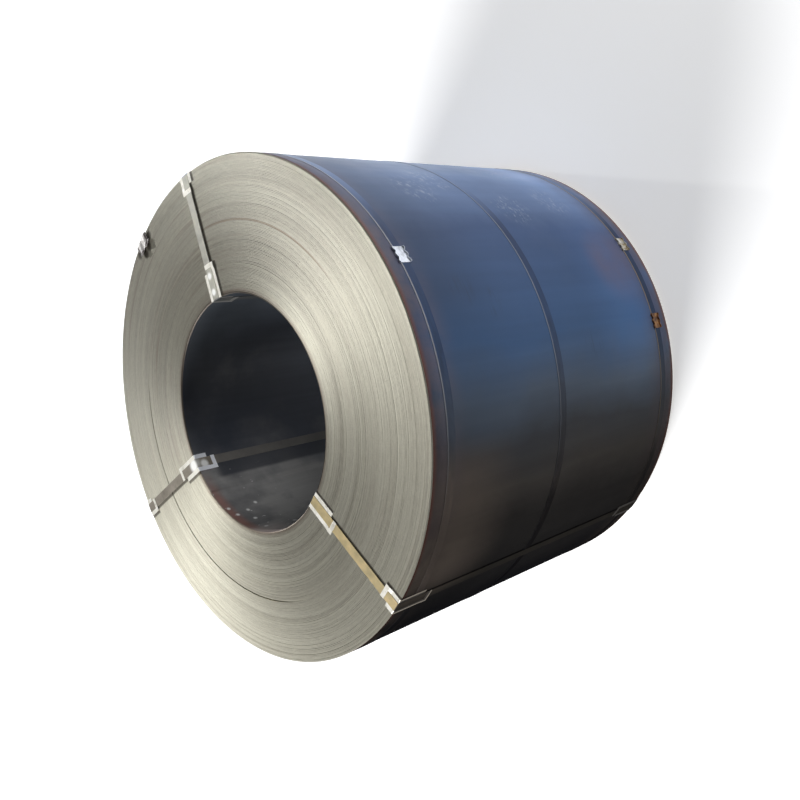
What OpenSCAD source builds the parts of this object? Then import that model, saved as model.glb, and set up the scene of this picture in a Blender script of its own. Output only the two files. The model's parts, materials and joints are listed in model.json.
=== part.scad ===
// Hot-rolled steel coil standing on its back end, strapped round the barrel and through the eye.
// Each strap through the eye runs over bent sheet protectors that hook over it at both rims.
// Lengths are in millimetres. The eye runs along Z, and the front end of the coil is on top.
// Angles are read from the front end, counter-clockwise from +X.

/* [Coil] */
// Outside diameter of the coil
coil_d = 1600; // [1300:10:2000]
// Diameter of the eye
bore_d = 762; // [508:Small, 610:Medium, 762:Large]
// Width of the strip, which is the length of the coil
strip_w = 1250; // [900:10:1800]
// Thickness of the strip
strip_t = 4.2; // [3.2:0.1:10]
// How far a turn may stand back from the end of the coil
turn_relief = 1.2; // [0.4:0.1:3]
// Place of the slack turn, as a share of the wall from the eye
slack_place = 0.535; // [0.3:0.005:0.7]
// How far the slack turn stands back
slack_depth = 9; // [4:0.5:15]
// Arc over which the last turn at either tail fades into the round
tail_sweep = 70; // [40:1:85]
// Angle of the strip's inner tail
inner_tail_angle = 232.5; // [220:0.5:250]
// Angle of the strip's outer tail
outer_tail_angle = 196; // [185:0.5:205]

/* [Straps] */
// Width of every strap
strap_w = 32; // [19:1:40]
// Thickness of every strap
strap_t = 0.8; // [0.5:0.05:1.2]
// Front band's middle, from the front end
front_band_at = 73; // [40:1:140]
// Middle band's middle, from the front end
middle_band_at = 576; // [300:1:700]
// Back band's middle, from the back end
back_band_at = 73; // [40:1:140]
// Angle of the upper strap through the eye
top_strap_angle = 112.5; // [95:0.5:122]
// Angle of the left strap through the eye
left_strap_angle = 216.5; // [206:0.5:221]
// Angle of the right strap through the eye
right_strap_angle = 327.6; // [318:0.1:345]
// How far the eye straps run clear of the ends of the coil
end_stand = 1.2; // [0.2:0.1:3]

/* [Edge protectors] */
// Thickness of the protector's sheet
plate_t = 0.6; // [0.4:0.05:1.2]
// Sheet left free on either side of the strap
plate_margin = 15; // [10:0.5:25]
// Leg of an outer protector on the end of the coil
outer_face_leg = 62; // [55:1:90]
// Leg of an outer protector along the barrel
outer_side_leg = 132; // [60:1:160]
// Leg of an inner protector on the end of the coil
inner_face_leg = 118; // [60:1:120]
// Leg of an inner protector inside the eye
inner_side_leg = 76; // [55:1:120]
// Width of the hook that lies over the strap at each end of a protector
hook_w = 15; // [8:0.5:20]
// Open slot between the hook and the rest of the sheet
hook_slot = 14; // [8:0.5:20]
// How far the hook's free end passes the strap
hook_tip = 2; // [1:0.5:5]

/* [Seals] */
// Length of a seal along its strap
seal_l = 52; // [35:1:60]
// Height of the crimped edges over the surface
seal_h = 6; // [4:0.5:9]
// Sheet thickness of a seal
seal_t = 1; // [0.7:0.1:1.5]
// How far the crimps bulge to either side of the middle line of the edge
crimp_depth = 2.6; // [1:0.1:4]
// Number of crimp waves along a seal
crimp_count = 2.5; // [1.5:0.5:4.5]
// Angle of the seal on the front band
front_seal_angle = 40.5; // [25:0.1:60]
// Angle of the bright seal on the back band
back_seal_angle = 41.1; // [30:0.1:60]
// Angle of the rusty seal on the back band
rusty_seal_angle = 19.9; // [5:0.1:22]
// Angle of the seal on the middle band
middle_seal_angle = 165; // [130:0.5:180]

/* [Fits] */
// Gap between pieces that lie on each other
seat_gap = 0.05; // [0.02:0.01:0.1]
// Gap between the wall of the eye and what lies along it
eye_gap = 0.4; // [0.05:0.05:0.6]
// Gap beside a strap in its slot or seal
side_gap = 0.8; // [0.3:0.1:1.5]

/* [Hidden] */
$fn = 180;

// Shades
scale_blue = [0.30, 0.34, 0.40];
strap_black = [0.22, 0.22, 0.25];
strap_tan = [0.55, 0.49, 0.36];
zinc = [0.80, 0.80, 0.76];
silver = [0.62, 0.65, 0.70];
rust = [0.42, 0.26, 0.17];

coil_r = coil_d / 2;
bore_r = bore_d / 2;
half_w = strip_w / 2;
wall = coil_r - bore_r;

// Whole turns of strip fill the wall, and the golden angle scatters their ends
turns = round(wall / strip_t);
turn_pitch = wall / turns;
golden_angle = 137.5;
slack_turn = floor(slack_place * turns);

// The rims are bevelled and the tails stepped by a share of one turn
rim_share = 0.7;
tail_share = 0.85;
rim_bevel = rim_share * turn_pitch;
tail_step = tail_share * turn_pitch;
tail_shift = tail_step / (1 - cos(tail_sweep));

// The bands lie on the barrel, and what crosses them lies on the bands
over_bands = strap_t + 2 * seat_gap;

// A protector bends round the bevelled rim, and its hooks rise over the strap
bend_r = rim_bevel;
plate_w = strap_w + 2 * plate_margin;
side_hook_rise = strap_t + seat_gap;
face_hook_rise = end_stand + side_hook_rise;
strap_rise = plate_t + seat_gap;

slot_half = strap_w / 2 + side_gap;
hook_end = strap_w / 2 + hook_tip;

// The strap leaves the slot a little before it reaches the hook
ramp_share = 1 / 12;
ramp_end = ramp_share * hook_slot;

// The coil stands on the hooks at its back end
middle_h = half_w + seat_gap + face_hook_rise + plate_t;

// Places along the barrel, positive to the front
front_band_z = half_w - front_band_at;
middle_band_z = half_w - middle_band_at;
back_band_z = back_band_at - half_w;

// Seal outline, with its crimped edges, which slope and so are cut wider than the sheet
seal_side = strap_w / 2 + side_gap + seal_t + crimp_depth;
seal_floor = strap_t + seat_gap + seal_t;
crimp_wall = 1.5 * seal_t;
seal_steps = 30;

// Cutting bodies pass the faces that they cut by over, or span the whole coil by reach
over = 2;
reach = coil_d + 2 * strip_w;

function reversed(points) = [for (i = [len(points) - 1 : -1 : 0]) points[i]];
function turn_depth(k) = k == slack_turn ? slack_depth : turn_relief * pow(sin(k * golden_angle), 2);
function turn_r(k) = bore_r + k * turn_pitch;
function end_bevel_in(k) = k == 0 ? rim_bevel : 0;
function end_bevel_out(k) = k == turns - 1 ? rim_bevel : 0;

// Points of one turn's end, from its inner to its outer edge
function turn_end(k) = [
    [turn_r(k), half_w - turn_depth(k) - end_bevel_in(k)],
    [turn_r(k) + end_bevel_in(k), half_w - turn_depth(k)],
    [turn_r(k + 1) - end_bevel_out(k), half_w - turn_depth(k)],
    [turn_r(k + 1), half_w - turn_depth(k) - end_bevel_out(k)]
];

// The first and last points of a turn matter only at the bevelled rims
function turn_points(k) = [
    for (i = [0 : 3])
        if ((i > 0 || k == 0) && (i < 3 || k == turns - 1)) turn_end(k)[i]
];
front_line = [for (k = [0 : turns - 1]) each turn_points(k)];
back_line = reversed([for (p = front_line) [p[0], -p[1]]]);

function edge_half(x) = seal_side + crimp_depth * cos(360 * crimp_count * x / seal_l);
function seal_x(i) = seal_l * (i / seal_steps - 0.5);

// Sets the coil on its back end
module standing() {
    translate([0, 0, middle_h]) children();
}

module at_angle(angle) {
    rotate([0, 0, angle]) children();
}

// Half of all space on one side of the axis, counter-clockwise for side 1
module half_space(side) {
    translate([0, side > 0 ? reach / 2 : -reach / 2, 0]) cube([2 * reach, reach, reach], center = true);
}

// Void that the inner tail leaves in the eye
module inner_tail_void() {
    at_angle(inner_tail_angle) intersection() {
        translate([tail_shift, 0, 0])
            cylinder(r = bore_r + tail_step - tail_shift, h = strip_w + over, center = true);
        half_space(1);
    }
}

// Void that the outer tail leaves on the barrel
module outer_tail_void() {
    at_angle(outer_tail_angle) difference() {
        translate([0, -coil_r, -strip_w / 2 - over])
            cube([coil_r + over, coil_r, strip_w + 2 * over]);
        translate([-tail_shift, 0, 0])
            cylinder(r = coil_r - tail_step + tail_shift, h = strip_w + 4 * over, center = true);
    }
}

module coil() {
    color(scale_blue) standing() difference() {
        rotate_extrude() polygon(concat(front_line, back_line));
        inner_tail_void();
        outer_tail_void();
    }
}

module band(z) {
    color(strap_black) standing() translate([0, 0, z]) rotate_extrude()
        translate([coil_r + seat_gap, -strap_w / 2]) square([strap_t, strap_w]);
}

// Quarter of a bent sheet round a rim, drawn from the bend's middle into the given quarter
module bend(inside_r, sheet, x_side, y_side) {
    size = 2 * (inside_r + sheet);
    intersection() {
        difference() {
            circle(r = inside_r + sheet);
            circle(r = inside_r);
        }
        translate([x_side * size / 2, y_side * size / 2]) square(size, center = true);
    }
}

// One leg of a protector along +X: flat, then up through the slot to the raised hook
function leg_points(start, leg, hook_rise) = [
    [start, 0],
    [leg - hook_w - hook_slot, 0],
    [leg - hook_w, hook_rise],
    [leg, hook_rise],
    [leg, hook_rise + plate_t],
    [leg - hook_w, hook_rise + plate_t],
    [leg - hook_w - hook_slot, plate_t],
    [start, plate_t]
];

// Section of a protector, with the rim's corner at the origin and the steel below and to the left
module plate_section(face_leg, side_leg, lift) {
    polygon(reversed([for (p = leg_points(bend_r - lift, face_leg, face_hook_rise)) [-p[0], seat_gap + p[1]]]));
    polygon([for (p = leg_points(bend_r - seat_gap, side_leg, side_hook_rise)) [lift + p[1], -p[0]]]);
    translate([lift - bend_r, seat_gap - bend_r]) bend(bend_r, plate_t, 1, 1);
}

// Cuts an open slot and the hook's free end into a leg that runs along +X; the slot opens to -Y
module slot_cut(leg) {
    hook_at = leg - hook_w;
    translate([hook_at - hook_slot, -plate_w, -reach / 2])
        cube([hook_slot, plate_w + slot_half, reach]);
    translate([hook_at - hook_slot, -plate_w, -reach / 2])
        cube([leg, plate_w - hook_end, reach]);
}

// Protector at the front rim; side is 1 on the outer rim and -1 on the rim of the eye
module front_protector(angle, rim_r, side, face_leg, side_leg, lift) {
    difference() {
        intersection() {
            rotate_extrude() translate([rim_r, half_w]) mirror([side > 0 ? 0 : 1, 0])
                plate_section(face_leg, side_leg, lift);
            at_angle(angle) translate([rim_r, 0, 0]) cube([rim_r, plate_w, reach], center = true);
        }
        at_angle(angle) translate([rim_r, 0, 0]) rotate([0, 0, side > 0 ? 180 : 0])
            mirror([0, 1, 0]) slot_cut(face_leg);
        at_angle(angle) translate([rim_r, 0, half_w]) rotate([0, 90, 0])
            mirror([0, side > 0 ? 1 : 0, 0]) slot_cut(side_leg);
    }
}

module outer_protector(angle) {
    front_protector(angle, coil_r, 1, outer_face_leg, outer_side_leg, over_bands);
}

module inner_protector(angle) {
    front_protector(angle, bore_r, -1, inner_face_leg, inner_side_leg, eye_gap);
}

// The back protectors are the front ones turned end for end
module protector(angle, front, outer) {
    turned_angle = front ? angle : -angle;
    color(zinc) standing() rotate([front ? 0 : 180, 0, 0])
        if (outer)
            outer_protector(turned_angle);
        else
            inner_protector(turned_angle);
}

// Underside of an eye strap between two rims a span apart, along +X from the first rim:
// over each protector, through its slot and under its hook, and on at the given height
function run_line(span, leg_a, leg_b, lift_a, lift_b, height) = [
    [bend_r - lift_a, strap_rise],
    [leg_a - hook_w - hook_slot, strap_rise],
    [leg_a - hook_w - ramp_end, height],
    [span - leg_b + hook_w + ramp_end, height],
    [span - leg_b + hook_w + hook_slot, strap_rise],
    [span - bend_r + lift_b, strap_rise]
];
function run_points(line) = concat(line, reversed([for (p = line) p + [0, strap_t]]));

// Section of an eye strap: a closed loop round the wall of the coil
module eye_strap_section() {
    face_run = run_points(run_line(wall, inner_face_leg, outer_face_leg, eye_gap, over_bands, end_stand));
    outer_run = run_points(run_line(strip_w, outer_side_leg, outer_side_leg, seat_gap, seat_gap, 0));
    inner_run = run_points(run_line(strip_w, inner_side_leg, inner_side_leg, seat_gap, seat_gap, 0));
    bend_z = half_w + seat_gap - bend_r;
    for (end = [1, -1]) {
        face_points = [for (p = face_run) [bore_r + p[0], end * (half_w + seat_gap + p[1])]];
        polygon(end > 0 ? face_points : reversed(face_points));
        translate([coil_r + over_bands - bend_r, end * bend_z]) bend(bend_r + strap_rise, strap_t, 1, end);
        translate([bore_r - eye_gap + bend_r, end * bend_z]) bend(bend_r + strap_rise, strap_t, -1, end);
    }
    polygon([for (p = outer_run) [coil_r + over_bands + p[1], half_w - p[0]]]);
    polygon(reversed([for (p = inner_run) [bore_r - eye_gap - p[1], half_w - p[0]]]));
}

module eye_strap(angle) {
    color(strap_tan) standing() intersection() {
        rotate_extrude() eye_strap_section();
        at_angle(angle) translate([coil_r, 0, 0]) cube([2 * coil_r, strap_w, reach], center = true);
    }
}

// Seal outline with crimped edges, drawn in by the given inset
module seal_outline(inset) {
    points = [for (i = [0 : seal_steps]) [seal_x(i), edge_half(seal_x(i)) - inset]];
    polygon(concat(points, reversed([for (p = points) [p[0], -p[1]]])));
}

// Crimped seal over a strap that runs along X, standing on the strap's own seat
module seal() {
    difference() {
        linear_extrude(height = seal_h) seal_outline(0);
        translate([0, 0, seal_floor]) linear_extrude(height = seal_h) seal_outline(crimp_wall);
        translate([-seal_l, -slot_half, -over]) cube([2 * seal_l, 2 * slot_half, over + strap_t + seat_gap]);
    }
}

module band_seal(z, angle, shade) {
    color(shade) standing() at_angle(angle) translate([coil_r + seat_gap, 0, z]) rotate([90, 0, 90]) seal();
}

coil();
band(front_band_z);  // front_band
band(middle_band_z);  // middle_band
band(back_band_z);  // back_band
eye_strap(top_strap_angle);  // top_eye_strap
eye_strap(left_strap_angle);  // left_eye_strap
eye_strap(right_strap_angle);  // right_eye_strap
protector(top_strap_angle, true, true);  // top_front_outer_protector
protector(top_strap_angle, true, false);  // top_front_inner_protector
protector(top_strap_angle, false, true);  // top_back_outer_protector
protector(top_strap_angle, false, false);  // top_back_inner_protector
protector(left_strap_angle, true, true);  // left_front_outer_protector
protector(left_strap_angle, true, false);  // left_front_inner_protector
protector(left_strap_angle, false, true);  // left_back_outer_protector
protector(left_strap_angle, false, false);  // left_back_inner_protector
protector(right_strap_angle, true, true);  // right_front_outer_protector
protector(right_strap_angle, true, false);  // right_front_inner_protector
protector(right_strap_angle, false, true);  // right_back_outer_protector
protector(right_strap_angle, false, false);  // right_back_inner_protector
band_seal(front_band_z, front_seal_angle, silver);  // front_band_seal
band_seal(middle_band_z, middle_seal_angle, silver);  // middle_band_seal
band_seal(back_band_z, back_seal_angle, silver);  // back_band_seal
band_seal(back_band_z, rusty_seal_angle, rust);  // back_band_rusty_seal
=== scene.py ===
import json
import math

import bpy
import numpy as np
from mathutils import Matrix, Vector


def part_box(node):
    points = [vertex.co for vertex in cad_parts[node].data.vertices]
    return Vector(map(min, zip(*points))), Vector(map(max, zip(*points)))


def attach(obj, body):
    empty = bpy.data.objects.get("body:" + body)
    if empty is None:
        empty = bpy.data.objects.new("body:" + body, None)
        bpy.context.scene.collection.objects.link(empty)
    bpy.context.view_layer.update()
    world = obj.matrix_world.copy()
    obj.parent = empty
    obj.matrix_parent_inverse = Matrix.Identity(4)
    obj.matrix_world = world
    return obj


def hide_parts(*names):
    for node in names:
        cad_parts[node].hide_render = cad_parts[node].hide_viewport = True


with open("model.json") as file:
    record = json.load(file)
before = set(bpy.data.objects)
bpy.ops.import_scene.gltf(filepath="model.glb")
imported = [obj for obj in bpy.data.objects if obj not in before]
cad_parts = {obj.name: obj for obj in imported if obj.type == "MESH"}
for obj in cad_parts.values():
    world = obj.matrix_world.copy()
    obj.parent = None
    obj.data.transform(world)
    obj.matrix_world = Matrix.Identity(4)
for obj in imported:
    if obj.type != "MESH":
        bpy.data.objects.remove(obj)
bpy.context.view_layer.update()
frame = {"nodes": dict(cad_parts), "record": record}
nodes = frame["nodes"]

# Sizes in metres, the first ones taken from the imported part. The eye runs along Z, the front end is
# on top, and +Y is up in the photograph. Angles are in degrees, counter-clockwise from +X, seen
# from above.
MM = 0.001
coil_low, coil_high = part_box("coil")
COIL_R = coil_high.x
BORE_R = frame["record"]["mounts"][0]["dims"]["r_mm"] * MM
BACK_Z = coil_low.z
FRONT_Z = coil_high.z
MIDDLE_Z = (BACK_Z + FRONT_Z) / 2
HALF_WIDTH = FRONT_Z - MIDDLE_Z

# The winding, as in the part's source, but for the inner tail, which was measured again later
TURNS = 100
PITCH = (COIL_R - BORE_R) / TURNS
SLACK_TURN = 53
RIM_BEVEL = 0.7 * PITCH
TAIL_STEP = 0.85 * PITCH
TAIL_SWEEP = 70.0
INNER_TAIL = 234.3
OUTER_TAIL = 196.0

# Fine relief of the turns' edges, the barrel and the eye
EDGE_SINK = 0.4 * MM
EDGE_GAP = 0.04 * PITCH
GAP_DEPTH = 0.3 * MM
BARREL_SINK = 0.5 * MM
BORE_SINK = 0.3 * MM
SLACK_SINK = 8.4 * MM
BROWN_SINK = 0.5 * MM
# Arcs where the slack turn stands back or is brown: start, end and softness of the ends
SLACK_ARC = (190, 284, 5)
BROWN_ARC = (56, 104, 4)

# Mesh of the coil: columns round it, rows along its walls, and the steps of its tails in degrees
COLUMNS = 172
BARREL_ROWS = 28
BORE_ROWS = 16
STEP_HALF = 0.03
STEP_CLEAR = 0.5
SEEDS = {"front": 11, "barrel": 21, "back": 31, "bore": 41, "tab": 5}

# Straps and protectors, as in the part's source
STRAP_ANGLES = {"top": 112.5, "left": 216.5, "right": 327.6}
STRAP_HALF = 16 * MM
PLATE_HALF = 31 * MM
PLATE_LEG = 132 * MM
# Painted shadow beside each strap, a dark line: its turn from the strap, its width, and how far the inner
# and the outer protector reach along that side
STRAP_SHADOWS = {
    "top": (-90, 16 * MM, 118 * MM, 33 * MM),
    "left": (90, 13 * MM, 89 * MM, 62 * MM),
    "right": (90, 10 * MM, 89 * MM, 62 * MM),
}

# Marks on the barrel, read from the photograph, as angle and height over the middle of the coil
SCUFFS = [(61.4, 0.275), (66.0, 0.150), (54.0, -0.089), (57.0, -0.348), (74.0, -0.300)]
STROKES = [(32.1, 0.384), (29.0, 0.287), (16.8, -0.154)]
BROWN_PATCH = (36.0, -0.430)
# Pale specks in the eye, as angle and depth below the front end
EYE_SPECKS = [
    (248.2, 0.126), (252.3, 0.077), (260.7, 0.067), (253.9, 0.028),
    (247.8, 0.018), (272.6, 0.053), (276.3, 0.151),
]
# Middle of the crumpled tab, and painted shadow round it, as distance in from the rim and angle
TAB_ANGLE = 139.0
TAB_SHADOWS = [(0.050, 137.6), (0.052, 140.2), (0.024, 135.4), (0.022, 142.5)]
# Angles at the middle of other zones: rust and brown on the end, dust on the barrel, painted shade and a
# pale zone in the eye
RUST_ANGLE = 152
BROWN_ANGLE = 80
BARREL_DUST_ANGLE = -15
EYE_SHADE_ANGLE = 200
EYE_PALE_ANGLE = 286

# The photograph's camera: turns in degrees, place from the middle of the coil, lens in pixels
CAMERA_YAW, CAMERA_PITCH, CAMERA_ROLL = 44.684, 12.064, 0.511
CAMERA_X, CAMERA_Y, CAMERA_Z = 2.2302, 0.6230, 2.1899
FOCAL_PIXELS = 869.4
PHOTO_PIXELS = 800
SENSOR_WIDTH = 36.0


# Geometry

def column_angles():
    """Angles of the coil's columns, in degrees, with a close pair at either tail for its step."""
    tails = np.array([INNER_TAIL, OUTER_TAIL])
    even = np.linspace(0, 360, COLUMNS, endpoint=False)
    pairs = [tail + side for tail in tails for side in (-STEP_HALF, STEP_HALF)]
    near = np.abs(even[:, None] - tails[None, :]).min(1) < STEP_CLEAR
    return np.sort(np.concatenate([even[~near], pairs]))


def fade(along):
    """1 at the start of a tail's sweep, 0 at its end and outside it."""
    share = np.where((along >= 0) & (along <= TAIL_SWEEP), along / TAIL_SWEEP, 1)
    return np.cos(share * math.pi / 2) ** 2


def bore_radius(angles):
    return BORE_R + TAIL_STEP * fade((angles - INNER_TAIL) % 360)


def barrel_radius(angles):
    return COIL_R - TAIL_STEP * fade((OUTER_TAIL - angles) % 360)


def wander(rng, angles, lines, harmonics):
    """Smooth noise round the coil, one row for each line, from about -1 to 1."""
    turn = np.radians(angles)[None, :]
    total = np.zeros((lines, len(angles)))
    for h in range(1, harmonics + 1):
        phase = rng.uniform(0, 2 * math.pi, (lines, 1))
        size = rng.normal(0, 0.6 / math.sqrt(h), (lines, 1))
        total += size * np.cos(h * turn + phase)
    return np.clip(total, -1.5, 1.5)


def smoothed(rows, kernel):
    """Rows averaged with their neighbours, where the first and last row count as their own."""
    pad = len(kernel) // 2

    def average(column):
        return np.convolve(np.pad(column, pad, mode="edge"), kernel, "valid")
    return np.apply_along_axis(average, 0, rows)


def window(angles, start, end, soft):
    """1 between two angles and 0 outside them, with soft ends."""
    middle = (start + end) / 2
    away = np.abs((angles - middle + 180) % 360 - 180)
    return 1 / (1 + np.exp((away - (end - start) / 2) / soft))


def end_relief(angles, seed):
    """How far each turn's edge sinks, how wide the gap inside it is, and how deep that gap is."""
    rng = np.random.default_rng(seed)
    drift = smoothed(wander(rng, angles, TURNS, 3), np.ones(9) / 9)
    own = wander(rng, angles, TURNS, 4)
    level = rng.uniform(0, 1, (TURNS, 1)) ** 2
    sink = EDGE_SINK * np.clip(0.45 * level + 0.5 * np.abs(drift) + 0.25 * np.abs(own), 0, 1.6)
    gap = PITCH * np.clip(0.08 + 0.07 * rng.normal(0, 1, (TURNS, 1)) + 0.05 * own, 0.03, 0.26)
    drop = GAP_DEPTH + 3.0 * gap
    slack = window(angles, *SLACK_ARC)
    brown = window(angles, *BROWN_ARC)
    sink[SLACK_TURN] = sink[SLACK_TURN] + SLACK_SINK * slack + BROWN_SINK * brown
    gap[SLACK_TURN] = PITCH * (0.1 + 0.1 * slack)
    return sink, gap, drop


def end_rows(angles, sign, seed):
    """Rows of points over one wound end, from the eye outwards: a gap and a flat edge for each turn."""
    sink, gap, drop = end_relief(angles, seed)
    end_z = FRONT_Z if sign > 0 else BACK_Z
    rows = []
    for k in range(TURNS):
        inner = np.full(len(angles), BORE_R + k * PITCH)
        if k == 0:
            inner = bore_radius(angles)
            rows.append((inner, end_z - sign * (RIM_BEVEL + sink[0])))
            rows.append((inner + RIM_BEVEL, end_z - sign * sink[0]))
        else:
            rows.append((inner, end_z - sign * (np.maximum(sink[k], sink[k - 1]) + drop[k])))
            rows.append((inner + gap[k], end_z - sign * sink[k]))
        if k == TURNS - 1:
            outer = barrel_radius(angles)
            rows.append((outer - RIM_BEVEL, end_z - sign * sink[k]))
            rows.append((outer, end_z - sign * (RIM_BEVEL + sink[k])))
        else:
            rows.append((inner + PITCH - EDGE_GAP, end_z - sign * sink[k]))
    return rows


def wall_rows(angles, radius, z_from, z_to, count, seed, sign, depth):
    """Rows of points down a round wall that sinks a little here and there."""
    rng = np.random.default_rng(seed)
    waves = smoothed(wander(rng, angles, count + 2, 6), np.array([0.25, 0.5, 0.25]))
    rows = []
    for i in range(1, count + 1):
        share = i / (count + 1)
        ease = math.sin(share * math.pi) ** 0.5
        sunk = depth * ease * (0.5 + 0.33 * waves[i])
        rows.append((radius + sign * sunk, np.full(len(angles), z_from + (z_to - z_from) * share)))
    return rows


def closed_mesh(name, rows, angles):
    """One closed skin from rows of (radius, height) that go round a section and round the axis."""
    turn = np.radians(angles)
    points = np.array([
        np.stack([r * np.cos(turn), r * np.sin(turn), z * np.ones(len(turn))], -1) for r, z in rows
    ])
    count, width = points.shape[:2]
    index = np.arange(count * width).reshape(count, width)
    below = np.roll(index, -1, 0)
    faces = np.stack([index, below, np.roll(below, -1, 1), np.roll(index, -1, 1)], -1).reshape(-1, 4)
    mesh = bpy.data.meshes.new(name)
    mesh.from_pydata(points.reshape(-1, 3).tolist(), [], faces.tolist())
    return mesh, count, width


def new_piece(mesh):
    piece = bpy.data.objects.new(mesh.name, mesh)
    bpy.context.scene.collection.objects.link(piece)
    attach(piece, "root")
    return piece


def make_coil(end_steel, barrel_scale, bore_scale):
    """The wound coil: both ends with their turns, the barrel and the eye, as one closed skin."""
    angles = column_angles()
    front = end_rows(angles, 1, SEEDS["front"])
    barrel = wall_rows(angles, barrel_radius(angles), FRONT_Z - RIM_BEVEL, BACK_Z + RIM_BEVEL,
                       BARREL_ROWS, SEEDS["barrel"], -1, BARREL_SINK)
    # The back end is unseen in the photograph and keeps two rows in three, with both its rims
    back = end_rows(angles, -1, SEEDS["back"])[::-1]
    back = [row for i, row in enumerate(back) if i % 3 != 1 or i < 2 or i > len(back) - 3]
    bore = wall_rows(angles, bore_radius(angles), BACK_Z + RIM_BEVEL, FRONT_Z - RIM_BEVEL,
                     BORE_ROWS, SEEDS["bore"], 1, BORE_SINK)
    mesh, count, width = closed_mesh("wound_coil", front + barrel + back + bore, angles)
    for made in (end_steel, barrel_scale, bore_scale):
        mesh.materials.append(made)
    row_of_face = np.repeat(np.arange(count), width)
    first_barrel = len(front) - 1
    first_back = len(front) + len(barrel)
    first_bore = first_back + len(back) - 1
    slot = np.zeros(len(mesh.polygons), dtype=np.int32)
    slot[(row_of_face >= first_barrel) & (row_of_face < first_back)] = 1
    slot[row_of_face >= first_bore] = 2
    mesh.polygons.foreach_set("material_index", slot)
    mesh.polygons.foreach_set("use_smooth", slot > 0)
    mesh.update()
    piece = new_piece(mesh)
    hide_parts("coil")


def sheet_faces(long_count, wide_count):
    """Faces of a thin sheet, whose upper points come first and whose lower points follow."""
    index = np.arange(long_count * wide_count).reshape(long_count, wide_count)
    under = index + long_count * wide_count
    faces = []
    for i in range(long_count - 1):
        for j in range(wide_count - 1):
            faces.append((index[i, j], index[i, j + 1], index[i + 1, j + 1], index[i + 1, j]))
            faces.append((under[i, j], under[i + 1, j], under[i + 1, j + 1], under[i, j + 1]))
    for i in range(long_count - 1):
        faces.append((index[i, 0], index[i + 1, 0], under[i + 1, 0], under[i, 0]))
        faces.append((index[i + 1, -1], index[i, -1], under[i, -1], under[i + 1, -1]))
    for j in range(wide_count - 1):
        faces.append((index[0, j + 1], index[0, j], under[0, j], under[0, j + 1]))
        faces.append((index[-1, j], index[-1, j + 1], under[-1, j + 1], under[-1, j]))
    return [[int(k) for k in face] for face in faces]


def make_rim_tab(made):
    """A small crumpled, corrugated tab of sheet that lies on the front end at its left rim."""
    long_count, wide_count = 41, 17
    length, width, sheet = 82 * MM, 46 * MM, 1.2 * MM
    centre_r = COIL_R - 22 * MM
    bumps, bump_height = 2, 2.0 * MM
    lift, flare = 1.5 * MM, 2 * MM
    wavy_edge, ragged_edge = 4 * MM, 2 * MM
    rng = np.random.default_rng(SEEDS["tab"])
    along = np.linspace(-0.5, 0.5, long_count)[:, None] * np.ones((1, wide_count))
    across = np.linspace(-0.5, 0.5, wide_count)[None, :] * np.ones((long_count, 1))
    wave = -np.cos(2 * math.pi * bumps * along)
    ragged = np.apply_along_axis(lambda c: np.convolve(c, np.ones(3) / 3, "same"), 0,
                                 rng.normal(0, 1, (long_count, 1)))
    from_middle = np.abs(across) * 2
    inner_half = np.clip(across * 2, 0, 1) ** 2
    out = centre_r - across * width - (wavy_edge * wave + ragged_edge * ragged) * inner_half
    turn = math.radians(TAB_ANGLE) + along * length / COIL_R
    height = lift + bump_height * (1 + wave) * (1 - 0.5 * from_middle ** 2) + flare * inner_half
    top = np.stack([out * np.cos(turn), out * np.sin(turn), FRONT_Z + height + sheet], -1)
    low = top - np.array([0, 0, sheet])
    points = np.concatenate([top.reshape(-1, 3), low.reshape(-1, 3)])
    mesh = bpy.data.meshes.new("rim_tab")
    mesh.from_pydata(points.tolist(), [], sheet_faces(long_count, wide_count))
    mesh.materials.append(made)
    new_piece(mesh)


# Shader helpers

def add(tree, kind, inputs=None, **settings):
    """A node with its settings, and its inputs given as values or linked sockets."""
    node = tree.nodes.new(kind)
    for key, value in settings.items():
        setattr(node, key, value)
    for key, value in (inputs or {}).items():
        if isinstance(value, bpy.types.NodeSocket):
            tree.links.new(value, node.inputs[key])
        else:
            node.inputs[key].default_value = value
    return node


def calc(tree, operation, a, b=0.0):
    return add(tree, "ShaderNodeMath", {0: a, 1: b}, operation=operation).outputs[0]


def product(tree, *values):
    total = values[0]
    for value in values[1:]:
        total = calc(tree, "MULTIPLY", total, value)
    return total


def largest(tree, values):
    total = values[0]
    for value in values[1:]:
        total = calc(tree, "MAXIMUM", total, value)
    return total


def linear(tree, value, slope, start):
    """start + slope * value"""
    return calc(tree, "ADD", product(tree, value, slope), start)


def smooth(tree, value, low, high):
    """0 at low and 1 at high, eased."""
    node = add(tree, "ShaderNodeMapRange", {0: value, 1: low, 2: high}, interpolation_type="SMOOTHSTEP")
    return node.outputs[0]


def rgb(colour):
    return (*colour, 1.0)


def blend(tree, factor, a, b, kind="MIX"):
    node = add(tree, "ShaderNodeMix", {0: factor, 6: a, 7: b}, data_type="RGBA", blend_type=kind)
    return node.outputs[2]


def paint(tree, colour, mask, share, coat):
    """A colour with a coat over it, which covers the given share of it where the mask is 1."""
    return blend(tree, product(tree, mask, share), colour, rgb(coat))


def ramp(tree, factor, stops):
    node = add(tree, "ShaderNodeValToRGB", {0: factor})
    band = node.color_ramp
    while len(band.elements) < len(stops):
        band.elements.new(0.5)
    for element, (place, colour) in zip(band.elements, stops):
        element.position = place
        element.color = rgb(colour)
    return node.outputs[0]


def streaked(tree, colour, pattern, share, shade, low=0.3, high=0.7):
    """A colour darkened by a shade where a pattern is low."""
    return blend(tree, share, colour, ramp(tree, pattern, [(low, shade), (high, WHITE)]), "MULTIPLY")


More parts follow.
